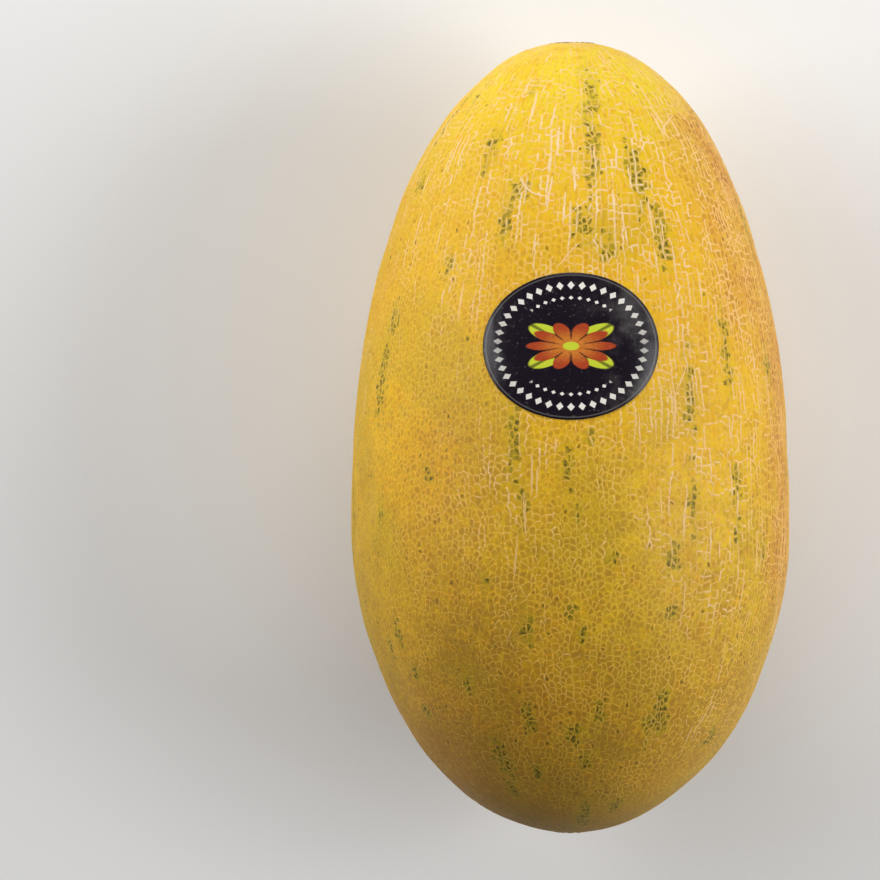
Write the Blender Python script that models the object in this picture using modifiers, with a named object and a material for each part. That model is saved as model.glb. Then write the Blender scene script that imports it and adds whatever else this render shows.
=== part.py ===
"""A whole netted cantaloupe of the long golden Hami kind, lying on its side, with an oval label.

The body is measured along its long axis from its widest section: a longer, leaner half towards the
stem end and a shorter, rounder half towards the blossom end. It lies along Y, stem end at +Y, and
dips a little that way, as its weight makes it rest. Metres, +Z up, origin on the ground under the middle.
"""

import math
import random

import bmesh
import bpy
from mathutils import Matrix, Vector

# Driving dimensions
BODY_RADIUS = 0.078
STEM_HALF = 0.1693
STEM_POWER = 2.14  # roundness of the stem half's outline: 2 is an ellipse, more is fuller
BLOSSOM_HALF = 0.1107
BLOSSOM_POWER = 2.0
REST_DIP = math.radians(3.6)  # slope of the long axis, down towards the stem end
GROUND_CUT = 0.0009  # how much the flat ground spot takes off the round underside

NET_CELLS = 780
NET_DEPTH = 0.0012
NET_HALF_WIDTH = 0.0013
NET_UNEVENNESS = 0.3  # how far a cell strays from an even spacing, in cell widths
NET_SHORTEST_STRAND = 0.0032
NET_SEED = 11
SMOOTH_UNDERSIDE = 0.0015  # the net starts this high above the ground

STEM_SCAR_RADIUS = 0.0080
STEM_SCAR_DEPTH = 0.0020
BLOSSOM_SCAR_RADIUS = 0.0055
BLOSSOM_SCAR_DEPTH = 0.0009
SCAR_WALL = 0.0016
SCAR_PLUG = 0.0010  # height of the corky middle above the scar's floor
SCAR_EXTRA_CELLS = 2  # cells round a scar beyond the even spacing, for a rounder outline

LABEL_WIDTH = 0.0626  # round the body
LABEL_LENGTH = 0.0508  # along the body
LABEL_STATION = 0.0606  # from the widest section towards the stem
LABEL_THICKNESS = 0.0004
LABEL_GAP = 0.0003
LABEL_DIVISIONS = 14

GOLDEN_ANGLE = math.pi * (3 - math.sqrt(5))
SLOPE_STEP = 0.0001
SMOOTH_UNDER = math.radians(35)  # edges flatter than this are shaded smooth


def clear_scene():
    for item in list(bpy.data.objects):
        bpy.data.objects.remove(item, do_unlink=True)


def make_material(name, color, roughness, metallic=0.0):
    material = bpy.data.materials.new(name)
    material.use_nodes = True
    shader = material.node_tree.nodes["Principled BSDF"]
    shader.inputs["Base Color"].default_value = (*color, 1.0)
    shader.inputs["Roughness"].default_value = roughness
    shader.inputs["Metallic"].default_value = metallic
    return material


def radius_at(station):
    """Radius of the body at a distance from its widest section, positive towards the stem."""
    half, power = (STEM_HALF, STEM_POWER) if station > 0 else (BLOSSOM_HALF, BLOSSOM_POWER)
    share = min(abs(station) / half, 1.0)
    return BODY_RADIUS * (1 - share**power) ** (1 / power)


def body_point(direction):
    """The point of the body that stands for a unit direction, with Y as the long axis."""
    station = direction.y * (STEM_HALF if direction.y > 0 else BLOSSOM_HALF)
    outwards = Vector((direction.x, 0, direction.z))
    if outwards.length > 0:
        outwards.normalize()
    return outwards * radius_at(station) + Vector((0, station, 0))


def reach(half, power, along, across):
    """How far one half of the body reaches in a direction given by its share along and across the axis."""
    dual = power / (power - 1)
    return ((half * along) ** dual + (BODY_RADIUS * across) ** dual) ** (1 / dual)


def resting_pose():
    """Places the body's widest section so that the ground is at z = 0 and the box is centred on Y."""
    along, across = math.sin(REST_DIP), math.cos(REST_DIP)
    height = reach(STEM_HALF, STEM_POWER, along, across) - GROUND_CUT
    front = reach(STEM_HALF, STEM_POWER, across, along)
    back = reach(BLOSSOM_HALF, BLOSSOM_POWER, across, along)
    place = Matrix.Translation((0, (back - front) / 2, height))
    return place @ Matrix.Rotation(-REST_DIP, 4, "X")


def cell_spacing():
    """Angle between neighbouring cells on the unit sphere."""
    return math.sqrt(4 * math.pi / NET_CELLS)


def direction_at(level, turn):
    """The unit direction with this height along Y and this turn about Y."""
    ring = math.sqrt(1 - level * level)
    return Vector((ring * math.cos(turn), level, ring * math.sin(turn)))


def scar_seeds(end, radius):
    """The middle of a round scar at one end, and the ring of cells that gives it its outline."""
    spread = 2 * radius / BODY_RADIUS
    cells = round(math.tau * spread / cell_spacing()) + SCAR_EXTRA_CELLS
    rim = [direction_at(end * math.cos(spread), math.tau * cell / cells) for cell in range(cells)]
    return [Vector((0, end, 0))] + rim


def net_seeds():
    """Unit directions of the net's cells: a scar at each end, and an uneven golden-angle spiral between."""
    draw = random.Random(NET_SEED)
    spacing = cell_spacing()
    seeds = scar_seeds(1, STEM_SCAR_RADIUS) + scar_seeds(-1, BLOSSOM_SCAR_RADIUS)
    top = math.cos(2 * STEM_SCAR_RADIUS / BODY_RADIUS + spacing / 2)
    bottom = -math.cos(2 * BLOSSOM_SCAR_RADIUS / BODY_RADIUS + spacing / 2)
    for index in range(NET_CELLS):
        level = top + (bottom - top) * (index + 0.5) / NET_CELLS
        stray = Vector([draw.uniform(-1, 1) for _ in range(3)]) * spacing * NET_UNEVENNESS
        seed = direction_at(level, index * GOLDEN_ANGLE) + stray
        seeds.append(seed.normalized())
    return seeds


def cell_mesh(seeds):
    """The net as polygons: each seed's cell is bounded by the triangles that meet at it on the hull."""
    hull = bmesh.new()
    for seed in seeds:
        hull.verts.new(seed)
    bmesh.ops.convex_hull(hull, input=hull.verts[:])
    bmesh.ops.recalc_face_normals(hull, faces=hull.faces[:])
    hull.faces.index_update()
    cells = bmesh.new()
    corners = [cells.verts.new(body_point(face.normal)) for face in hull.faces]
    for vertex in hull.verts:
        loop = first = vertex.link_loops[0]
        outline = []
        while True:
            outline.append(corners[loop.face.index])
            loop = loop.link_loop_prev.link_loop_radial_next
            if loop == first:
                break
        cells.faces.new(outline)
    hull.free()
    bmesh.ops.remove_doubles(cells, verts=cells.verts[:], dist=NET_SHORTEST_STRAND)
    return cells


def end_face(mesh, end):
    """The face in the middle of one end of the body."""
    return max(mesh.faces, key=lambda face: end * face.calc_center_median().y)


def sink_scar(mesh, face, depth):
    """A dished scar with a low corky plug in its middle."""
    bmesh.ops.inset_individual(mesh, faces=[face], thickness=SCAR_WALL, depth=-depth)
    bmesh.ops.inset_individual(mesh, faces=[face], thickness=SCAR_WALL, depth=0)
    bmesh.ops.inset_individual(mesh, faces=[face], thickness=SCAR_PLUG, depth=SCAR_PLUG)


def cut_ground_spot(mesh, pose):
    """Cuts the underside flat where the body rests, and closes it with one face."""
    to_body = pose.inverted()
    up = to_body.to_3x3() @ Vector((0, 0, 1))
    everything = mesh.verts[:] + mesh.edges[:] + mesh.faces[:]
    bmesh.ops.bisect_plane(mesh, geom=everything, plane_co=to_body @ Vector(), plane_no=up, clear_inner=True)
    rim = [edge for edge in mesh.edges if edge.is_boundary]
    bmesh.ops.holes_fill(mesh, edges=rim, sides=0)


def make_melon(pose):
    mesh = cell_mesh(net_seeds())
    mesh.normal_update()
    stem_end, blossom_end = end_face(mesh, 1), end_face(mesh, -1)
    netted = [
        face
        for face in mesh.faces
        if face not in (stem_end, blossom_end)
        and min((pose @ corner.co).z for corner in face.verts) > SMOOTH_UNDERSIDE
    ]
    bmesh.ops.inset_individual(
        mesh, faces=netted, thickness=NET_HALF_WIDTH, depth=-NET_DEPTH, use_even_offset=True
    )
    sink_scar(mesh, stem_end, STEM_SCAR_DEPTH)
    sink_scar(mesh, blossom_end, BLOSSOM_SCAR_DEPTH)
    cut_ground_spot(mesh, pose)
    return finish(mesh, "melon", make_material("golden netted rind", (0.72, 0.42, 0.06), 0.5))


def label_point(across, along):
    """A point of the label's underside, from its distances across and along from the label's middle."""
    station = LABEL_STATION + along
    radius = radius_at(station)
    slope = (radius_at(station + SLOPE_STEP) - radius_at(station - SLOPE_STEP)) / (2 * SLOPE_STEP)
    turn = across / radius
    outwards = Vector((math.sin(turn), -slope, math.cos(turn))).normalized()
    return Vector((radius * math.sin(turn), station, radius * math.cos(turn))) + outwards * LABEL_GAP


def make_label():
    """A square grid pressed into an oval, laid over the body and given its thickness."""
    mesh = bmesh.new()
    bmesh.ops.create_grid(mesh, x_segments=LABEL_DIVISIONS, y_segments=LABEL_DIVISIONS, size=1)
    for vertex in mesh.verts:
        u, v = vertex.co.x, vertex.co.y
        across = u * math.sqrt(1 - v * v / 2) * LABEL_WIDTH / 2
        along = v * math.sqrt(1 - u * u / 2) * LABEL_LENGTH / 2
        vertex.co = label_point(across, along)
    label = finish(mesh, "label", make_material("dark glossy label", (0.016, 0.011, 0.035), 0.25))
    sheet = label.modifiers.new("thickness", "SOLIDIFY")
    sheet.thickness = LABEL_THICKNESS
    sheet.offset = 1
    return label


def finish(mesh, name, material):
    data = bpy.data.meshes.new(name)
    mesh.to_mesh(data)
    mesh.free()
    data.materials.append(material)
    data.shade_smooth()
    data.set_sharp_from_angle(angle=SMOOTH_UNDER)
    return bpy.data.objects.new(name, data)


def main():
    clear_scene()
    parts = bpy.data.collections.new("cantaloupe")
    bpy.context.scene.collection.children.link(parts)
    pose = resting_pose()
    rest = bpy.data.objects.new("resting_pose", None)
    rest.matrix_world = pose
    parts.objects.link(rest)
    for part in (make_melon(pose), make_label()):
        part.parent = rest
        parts.objects.link(part)


main()
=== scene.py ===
"""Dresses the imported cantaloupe: skin made of the net's own cells, raised net, end scars and oval label."""

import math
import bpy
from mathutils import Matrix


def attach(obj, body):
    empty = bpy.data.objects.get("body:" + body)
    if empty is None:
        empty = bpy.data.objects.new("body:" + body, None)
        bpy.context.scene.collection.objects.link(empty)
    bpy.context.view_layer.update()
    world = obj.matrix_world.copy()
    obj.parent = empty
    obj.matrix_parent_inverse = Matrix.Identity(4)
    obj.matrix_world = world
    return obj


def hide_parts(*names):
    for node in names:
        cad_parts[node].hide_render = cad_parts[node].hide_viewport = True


bl_info = {
    "name": "Netted Cantaloupe",
    "version": (1, 0, 0),
    "blender": (4, 5, 0),
    "location": "View3D > Sidebar > Cantaloupe",
    "description": "Dresses a packed cantaloupe with its skin, net, end scars and label",
    "category": "Object",
}

import bpy
import numpy as np
from bpy.props import FloatProperty, FloatVectorProperty, IntProperty, PointerProperty
from mathutils import Matrix, Vector
from mathutils.geometry import delaunay_2d_cdt

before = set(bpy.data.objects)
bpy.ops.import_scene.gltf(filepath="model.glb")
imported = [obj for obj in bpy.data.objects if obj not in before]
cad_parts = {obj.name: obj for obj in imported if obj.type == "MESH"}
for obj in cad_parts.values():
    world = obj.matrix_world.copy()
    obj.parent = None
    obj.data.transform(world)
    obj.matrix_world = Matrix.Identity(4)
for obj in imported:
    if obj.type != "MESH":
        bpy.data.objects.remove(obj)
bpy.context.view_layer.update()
BODY = "root"

# Body, as in the part's source
BODY_RADIUS = 0.078
STEM_HALF = 0.1693
STEM_POWER = 2.14
BLOSSOM_HALF = 0.1107
BLOSSOM_POWER = 2.0
REST_DIP = math.radians(3.6)
GROUND_CUT = 0.0009
STEM_SCAR_RADIUS = 0.0080
BLOSSOM_SCAR_RADIUS = 0.0055
LABEL_WIDTH = 0.0626
LABEL_LENGTH = 0.0508
LABEL_STATION = 0.0606

# Skin surface
MERIDIAN_STEPS = 4001
SKIN_SINK = 0.0009  # the skin lies this far inside the body's outline, so that the net stays within it
SLOW_WAVE = 0.00040
SLOW_WAVE_LENGTH = 0.070
QUICK_WAVE = 0.00010
QUICK_WAVE_LENGTH = 0.022
WAVE_LIMITS = (-0.0012, 0.0003)
UV_MARGIN = 0.004
CORE_LENGTH = 0.75  # length of the line that all faces look away from, against the melon's own
CELL_PILLOW = 0.00010  # how far the middle of a cell stands above its corners
GROUND_SAG = 0.0007  # how far the underside settles on the ground, fading out by the sag height
SAG_HEIGHT = 0.004
WAIST_STATION = 0.020  # where the two halves of the skin meet

# Net pattern
NET_SEED = 5
CHART_STEPS = 900
TALLEST_CELL = 1.35  # height of a cell against its width where the net is bold
SQUATTEST_CELL = 0.80  # share of that height where the net is fine
COLUMN_ORDER = (math.sqrt(5) - 1) / 2  # turns between columns that end one after the other towards a tip
FEWEST_COLUMNS = 0.06  # share of the columns that reach the tips
STEM_NET_START = 0.0070  # along the skin from each tip
BLOSSOM_NET_START = 0.0048
NET_END_MARGIN = 0.001  # corners this near to an end of the net are left out
BOLD_STATION = 0.025  # where the net turns from fine to bold, towards the stem
BOLD_RUN = 0.045
BOLD_SIDE_RUN = 0.040
BOLD_RIPPLE = 0.45
BOLD_RIPPLE_LENGTH = 0.050
BOLD_STEEPNESS = 1.6
SEAM_MARGIN = 0.5  # turn repeated on both sides of the seam, in radians
STRAY_CELLS = 0.42  # how far a seed strays from its place, in cell widths
BOLD_STRAY_DROP = 0.10  # how much less it strays where the net is bold
FINE_ALONG_STRAY = 0.75  # share of it along the melon where the net is fine
COLUMN_END_STRAY = 0.02  # how unevenly the columns end, as a share of them all
WANDER_CELLS = 0.35  # how far the columns wander together, in cell widths
WANDER_LENGTH = 0.045
CROWDING_CELLS = 0.16  # how far neighbouring columns crowd and spread, in cell widths
CROWDING_LENGTH = 0.0065
LINE_PULL = 0.62  # share by which bold corners are drawn to the line between their columns
LINE_WOBBLE = 0.12
LINE_WOBBLE_LENGTH = 0.009
STREAK_LENGTH = 0.014  # typical run of a strong upright line
PATCH_LENGTH = 0.011  # typical size of the patches with hardly any net
RUNG_LENGTH = 0.0075  # and of those with strong rungs
SHORTEST_STRAND = 0.0002
SHORTEST_RUN = 1e-7
TINY = 1e-9
STRAND_FOOT = 0.00008  # how deep a strand's edges lie in the skin
TIP_REACH = 0.35  # how far a strand's pointed tip passes the corner of the cell, in half widths
LABEL_PRESS = 0.42  # share of its height that the net keeps under the label
LABEL_EDGE = 1.03  # how far from the label's middle its press reaches, where its rim is one
LABEL_WIDE_EDGE = 1.05  # the same for the long strands
LONE_SPECKS = 0.045  # share of the cells that have a dark speck, where the net is neither bold nor fine

# Long strands
LONG_STRANDS = 600  # tried, of which those in the bold net are kept
LONG_STRAND_STEPS = 22
LONG_STRAND_SEED = 17
LONG_STRAND_STATIONS = (-0.090, 0.155)
LONG_STRAND_LENGTHS = (0.004, 0.019)
LONG_STRAND_HALF_WIDTHS = (0.00036, 0.00070)
LONG_STRAND_HEIGHTS = (0.9, 1.2)  # against the boldest strand of the net
LONG_STRAND_WOBBLE = 0.00010
WOBBLE_PITCHES = (900, 1700)  # in radians to a metre
SLANTED_SHARE = 0.22  # share of the long strands towards the stem that slant across the melon
SLANTED_FROM = (-0.010, 0.040)  # stations where they begin, and where they have their full share
SLANTED_HEADING = 1.2  # the most that one turns from the melon's length, in radians
SLANTED_BEND = 55  # spread of its bend, in radians to a metre
SLANTED_LENGTH = 0.8  # its length against the others'
SLANTED_HALF_WIDTHS = (0.00032, 0.00052)
STRAIGHT_HEADING = 0.05
STRAIGHT_BEND = 5
PROFILE_SIDE = (-1, -0.6, 0, 0.6, 1)  # section of a long strand, in half widths
PROFILE_LIFT = (0, 0.75, 1, 0.75, 0)  # and in its height

# Scars and label
SCAR_RINGS = 44
SCAR_TURNS = 128
SCAR_REACH = 1.6  # how far a scar's piece runs under the skin, in its own radius
SCAR_RIM_HEIGHT = 0.0002
SCAR_CRACK_DEPTH = 0.00012
SCAR_GRAIN_HEIGHT = 0.0001
SCAR_LIP_DROP = 0.0001  # step down to the skin outside the rim
SCAR_EDGE_DROP = 0.0006  # and below the skin, where the piece ends
LABEL_DIVISIONS = 110
LABEL_SHEET = 0.00012
LABEL_FINE_RELIEF = 0.000008  # how far the net shows through the label
LABEL_BROAD_RELIEF = 0.00002  # and how far the skin's waves do

# Scars: piece, radius, depth of the dish, height of the plug in it, and whether it is the stem's
SCARS = (
    ("stem_scar", STEM_SCAR_RADIUS, 0.0017, 0.0010, True),
    ("blossom_scar", BLOSSOM_SCAR_RADIUS, 0.0008, 0.0004, False),
)

# Green flecks: turn in degrees, place towards the stem, length and width in metres
FLECKS = (
    (-69, 0.146, 0.024, 0.0028),
    (-57, 0.149, 0.014, 0.0020),
    (-21, 0.149, 0.006, 0.0022),
    (10, 0.148, 0.020, 0.0052),
    (8, 0.131, 0.028, 0.0056),
    (4, 0.103, 0.011, 0.0065),
    (11, 0.095, 0.010, 0.0050),
    (24, 0.118, 0.022, 0.0070),
    (29, 0.098, 0.020, 0.0068),
    (-32, 0.129, 0.014, 0.0040),
    (-18, 0.115, 0.006, 0.0070),
    (-21, 0.104, 0.014, 0.0044),
    (-39, 0.090, 0.008, 0.0032),
    (-66, 0.118, 0.007, 0.0048),
    (-60, 0.070, 0.009, 0.0050),
    (-62, 0.050, 0.024, 0.0064),
    (-15, 0.029, 0.024, 0.0044),
    (-1, 0.019, 0.012, 0.0036),
    (5, 0.030, 0.006, 0.0028),
    (33, 0.042, 0.028, 0.0036),
    (47, 0.061, 0.026, 0.0040),
    (68, 0.054, 0.009, 0.0050),
    (48, 0.013, 0.015, 0.0046),
    (48, -0.002, 0.012, 0.0030),
    (-40, 0.016, 0.008, 0.0036),
    (-59, 0.003, 0.008, 0.0034),
    (-12, 0.006, 0.010, 0.0036),
    (2, 0.003, 0.005, 0.0030),
    (33, 0.007, 0.016, 0.0040),
    (27, -0.012, 0.009, 0.0050),
    (11, -0.012, 0.005, 0.0032),
    (60, -0.010, 0.007, 0.0036),
    (-23, -0.020, 0.005, 0.0026),
    (0, -0.030, 0.005, 0.0040),
    (28, -0.030, 0.006, 0.0032),
    (-12, -0.037, 0.010, 0.0038),
    (3, -0.038, 0.006, 0.0026),
    (-56, -0.040, 0.009, 0.0038),
    (-63, -0.044, 0.007, 0.0030),
    (-52, -0.053, 0.006, 0.0034),
    (-32, -0.055, 0.006, 0.0036),
    (-55, -0.067, 0.006, 0.0040),
    (-14, -0.068, 0.011, 0.0034),
    (9, -0.066, 0.006, 0.0038),
    (29, -0.068, 0.016, 0.0068),
    (-28, -0.083, 0.014, 0.0050),
    (5, -0.084, 0.006, 0.0030),
    (-30, -0.094, 0.006, 0.0036),
    (60, -0.075, 0.007, 0.0048),
    (9, -0.102, 0.009, 0.0044),
    (27, -0.100, 0.006, 0.0042),
    (-14, -0.088, 0.006, 0.0034),
    (1, -0.074, 0.006, 0.0042),
)
HIDDEN_FLECKS = 60  # more of the same kind on the side away from the label, drawn between these limits
HIDDEN_FLECK_RANGES = ((80, 280), (-0.095, 0.145), (0.005, 0.022), (0.0024, 0.0052))
FLECK_SEED = 21

# Colour zones in object coordinates: where a change begins, and where it is full
# Painted shade on the low flanks, fading out short of the stem end
SHADED_LOW_FLANKS = (0.135, 0.075)  # height
SHORT_OF_STEM = (0.135, 0.095)  # along the melon
# Painted shade, dark brown: round the blossom end's tip, and further up its -X flank
TIP = (-0.110, -0.140)  # along the melon
LEFT_FLANK = (-0.015, -0.045)  # across the melon
LEFT_FLANK_END = (-0.085, -0.112)  # along the melon

# Print of the label, in millimetres
MILLIMETRES = 1000.0
FLOWER_HALF_WIDTH = 15.5
FLOWER_HALF_LENGTH = 8.2
PETAL_WAVES = 5.0  # half the number of petals
MEAN_RIM = 28.0  # mean distance of the label's rim from its middle

# Camera and light
PHOTO_SIDE = 880
PHOTO_MELON_AXIS = 571  # pixel column of the melon's long axis
PHOTO_MELON_TOP = 40
PHOTO_MELON_BOTTOM = 834
LENS = 0.300
SENSOR = 0.036
CAMERA_DISTANCE = 2.586
FLOOR_GAP = 0.0003
FLOOR_HALF_SIDE = 6.0
FLOOR_CORNERS = ((-1, -1), (1, -1), (1, 1), (-1, 1))


def color_setting(name, description, default):
    return FloatVectorProperty(
        name=name, description=description, default=default, subtype="COLOR", size=3, min=0, max=1
    )


def length_setting(name, description, default, least, most):
    return FloatProperty(
        name=name, description=description, default=default, min=least, max=most, precision=5,
        unit="LENGTH",
    )


def power_setting(name, description, default):
    return FloatProperty(name=name, description=description, default=default, min=0, unit="POWER")


class SkinSettings(bpy.types.PropertyGroup):
    """Colours of the skin between the strands of the net."""

    gold: color_setting("Gold", "Ripe ground colour", (0.79, 0.456, 0.012))
    lemon: color_setting("Lemon", "Yellow ground towards the stem", (0.81, 0.590, 0.018))
    orange: color_setting("Orange", "Warm patches", (0.78, 0.355, 0.008))
    # Umber also carries painted shade, towards the blossom half and its end and on the low flanks
    umber: color_setting("Umber", "Darker cell middles and the blossom half", (0.41, 0.222, 0.024))
    # Olive also carries painted shade on the low flanks
    olive: color_setting("Olive", "Dull greenish patches", (0.42, 0.300, 0.018))
    lime: color_setting("Lime", "Yellow-green skin round the flecks", (0.56, 0.410, 0.014))
    green: color_setting("Green", "Unripe flecks", (0.300, 0.222, 0.016))
    dark: color_setting("Dark", "Breaks in the flecks, specks and pores", (0.105, 0.076, 0.012))
    blush: color_setting("Blush", "Sunburnt patches", (0.55, 0.20, 0.035))
    burnt: color_setting("Burnt", "Darkest cells of the sunburnt patches", (0.33, 0.135, 0.026))
    # Painted shade: dark brown round the blossom end's tip and up its -X flank
    painted_shade_brown: color_setting("Earth", "Brown skin round the blossom end's tip", (0.160, 0.082, 0.014))


class NetSettings(bpy.types.PropertyGroup):
    """Sizes and colours of the raised net."""

    columns: IntProperty(
        name="Columns", description="Columns of cells round the widest section, a multiple of four",
        default=236, min=40, max=260,
    )
    fine_half_width: length_setting(
        "Fine half width", "Half the width of the faintest strand", 0.00052, 0.00005, 0.002
    )
    bold_half_width: length_setting(
        "Bold half width", "Half the width of the strongest strand", 0.00080, 0.0001, 0.003
    )
    fine_height: length_setting(
        "Fine height", "Height of the faintest strand", 0.00010, 0.00002, 0.001
    )
    bold_height: length_setting(
        "Bold height", "Height of the strongest strand", 0.00026, 0.00005, 0.002
    )
    gold: color_setting("Gold", "Colour of the fine strands", (0.73, 0.436, 0.055))
    cream: color_setting("Cream", "Colour of the bold strands", (0.82, 0.535, 0.235))
    pale: color_setting("Pale", "Dried patches of the boldest strands", (0.86, 0.662, 0.440))
    peach: color_setting("Peach", "Strands over the sunburnt patches", (0.76, 0.400, 0.140))


class ScarSettings(bpy.types.PropertyGroup):
    """Colours of the dried scars at both ends."""

    brown: color_setting("Brown", "Darker cork", (0.30, 0.17, 0.060))
    tan: color_setting("Tan", "Lighter cork", (0.56, 0.36, 0.16))
    crack: color_setting("Crack", "Rings and cracks", (0.085, 0.045, 0.016))


class LabelSettings(bpy.types.PropertyGroup):
    """Colours of the printed oval label, and its height."""

    ground: color_setting("Ground", "Dark ground of the label", (0.0090, 0.0055, 0.0115))
    cream: color_setting("Cream", "Light marks", (0.80, 0.76, 0.70))
    orange: color_setting("Orange", "Middle of the flower", (0.62, 0.20, 0.030))
    red: color_setting("Red", "Tips of the flower", (0.42, 0.055, 0.018))
    rust: color_setting("Rust", "Dark barbs of the petals", (0.22, 0.060, 0.012))
    leaf: color_setting("Leaf", "Yellow-green leaves", (0.55, 0.62, 0.040))
    lift: length_setting("Lift", "Height of the label's face above the skin", 0.00034, 0.0001, 0.002)


class StageSettings(bpy.types.PropertyGroup):
    """Floor and studio light."""

    floor: color_setting("Floor", "Colour of the floor", (0.85, 0.85, 0.85))
    top_power: power_setting("Stem side light", "Soft light beyond the stem end", 8.7)
    right_power: power_setting("Right light", "Soft light on the +X side", 12.6)
    left_power: power_setting("Left light", "Soft light on the -X side", 12.5)
    glare_power: power_setting("Glare light", "Small light that the label mirrors", 0.6)
    air: color_setting("Air", "Colour of the even light from all round", (1.0, 0.99, 0.97))
    ambient: FloatProperty(
        name="Ambient", description="Strength of the even light from all round", default=0.10, min=0
    )


# The body as a surface


def meridian():
    """Tables along the skin from the stem tip to the blossom tip. Each half is a superellipse in station,
    which is the distance along the axis from the widest section towards the stem, and radius."""
    angle = np.linspace(0, math.pi, MERIDIAN_STEPS)
    level = np.cos(angle)
    half = np.where(level > 0, STEM_HALF, BLOSSOM_HALF)
    power = np.where(level > 0, STEM_POWER, BLOSSOM_POWER)
    station = half * level
    radius = BODY_RADIUS * (1 - np.abs(level) ** power) ** (1 / power)
    step = np.hypot(np.diff(station), np.diff(radius))
    arc = np.concatenate([[0], np.cumsum(step)])
    normal_along = np.gradient(radius, arc)
    normal_out = -np.gradient(station, arc)
    return arc, station, radius, normal_along, normal_out


ARC, STATION, RADIUS, NORMAL_ALONG, NORMAL_OUT = meridian()
SKIN_LENGTH = ARC[-1]


def radius_of(arc):
    """Radius of the body at a distance along the skin from the stem tip."""
    return np.interp(arc, ARC, RADIUS)


def station_of(arc):
    return np.interp(arc, ARC, STATION)


def arc_of(station):
    return np.interp(-station, -STATION, ARC)


def reach(half, power, along, across):
    """How far one half of the body reaches in a direction given by its share along and across the axis."""
    dual = power / (power - 1)
    return ((half * along) ** dual + (BODY_RADIUS * across) ** dual) ** (1 / dual)


def resting_pose():
    """Dips the body towards the stem and sets it on the ground, its box centred, as in the part's source."""
    along, across = math.sin(REST_DIP), math.cos(REST_DIP)
    height = reach(STEM_HALF, STEM_POWER, along, across) - GROUND_CUT
    front = reach(STEM_HALF, STEM_POWER, across, along)
    back = reach(BLOSSOM_HALF, BLOSSOM_POWER, across, along)
    return Matrix.Translation((0, (back - front) / 2, height)) @ Matrix.Rotation(-REST_DIP, 4, "X")


def ripple(points, wave_length, seed, waves=9):
    """Sum of sine waves in random directions and phases, with a spread of about one."""
    draw = np.random.default_rng(seed)
    heading = draw.normal(size=(3, waves))
    heading /= np.linalg.norm(heading, axis=0)
    phase = draw.uniform(0, math.tau, waves)
    number = math.tau / (wave_length * draw.uniform(0.7, 1.4, waves))
    return np.sin(points @ (heading * number) + phase).sum(-1) * math.sqrt(2 / waves)


def axis_points(turn, arc):
    """Points of the plain body before it is laid down: its radius turned round the axis, from +Z to +X."""
    turn, arc = np.broadcast_arrays(turn, arc)
    radius = radius_of(arc)
    return np.stack([radius * np.sin(turn), station_of(arc), radius * np.cos(turn)], -1)


def on_body(turn, arc, lift):
    """Points of the skin in the shared frame: the body's point, moved along its normal by slow waves and a
    lift, then laid down, with the underside settled flat on the ground."""
    turn, arc, lift = np.broadcast_arrays(turn, arc, lift)
    plain = axis_points(turn, arc)
    slow = SLOW_WAVE * ripple(plain, SLOW_WAVE_LENGTH, 1)
    quick = QUICK_WAVE * ripple(plain, QUICK_WAVE_LENGTH, 2)
    raised = lift - SKIN_SINK + np.clip(slow + quick, *WAVE_LIMITS)
    along = np.interp(arc, ARC, NORMAL_ALONG)
    out = np.interp(arc, ARC, NORMAL_OUT)
    normal = np.stack([out * np.sin(turn), along, out * np.cos(turn)], -1)
    pose = np.array(resting_pose())
    world = (plain + normal * raised[..., None]) @ pose[:3, :3].T + pose[:3, 3]
    sag = GROUND_SAG * np.clip(1 - world[..., 2] / SAG_HEIGHT, 0, 1)
    world[..., 2] = np.maximum(world[..., 2] - sag, 0)
    return world


def boldness(turn, arc):
    """One where the net is coarse and raised, towards the stem end and the +X side, and none where it is
    fine: a logistic curve over a slanting, rippled distance."""
    place = axis_points(turn, arc)
    side, along = place[..., 0], place[..., 1]
    lean = (along - BOLD_STATION) / BOLD_RUN + side / BOLD_SIDE_RUN
    lean = lean + BOLD_RIPPLE * ripple(place, BOLD_RIPPLE_LENGTH, 3)
    return 1 / (1 + np.exp(-BOLD_STEEPNESS * lean))


def smoothstep(value):
    """Rises smoothly from none at 0 to one at 1."""
    value = np.clip(value, 0, 1)
    return value * value * (3 - 2 * value)


def label_distance(turn, arc):
    """One on the label's rim, less inside it."""
    turn = (turn + math.pi) % math.tau - math.pi
    across = turn * radius_of(arc) / (LABEL_WIDTH / 2)
    along = (station_of(arc) - LABEL_STATION) / (LABEL_LENGTH / 2)
    return np.hypot(across, along)


# Meshes


def outward_faces(points, faces):
    """The faces, turned where needed so that each one looks away from a line along the body's middle."""
    corners = points[faces[:, :3]]
    normal = np.cross(corners[:, 1] - corners[:, 0], corners[:, 2] - corners[:, 0])
    middle = corners.mean(1)
    core = middle * (0, CORE_LENGTH, 0) + (0, 0, BODY_RADIUS)
    inward = ((middle - core) * normal).sum(1) < 0
    faces = faces.copy()
    faces[inward] = faces[inward, ::-1]
    return faces


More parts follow.
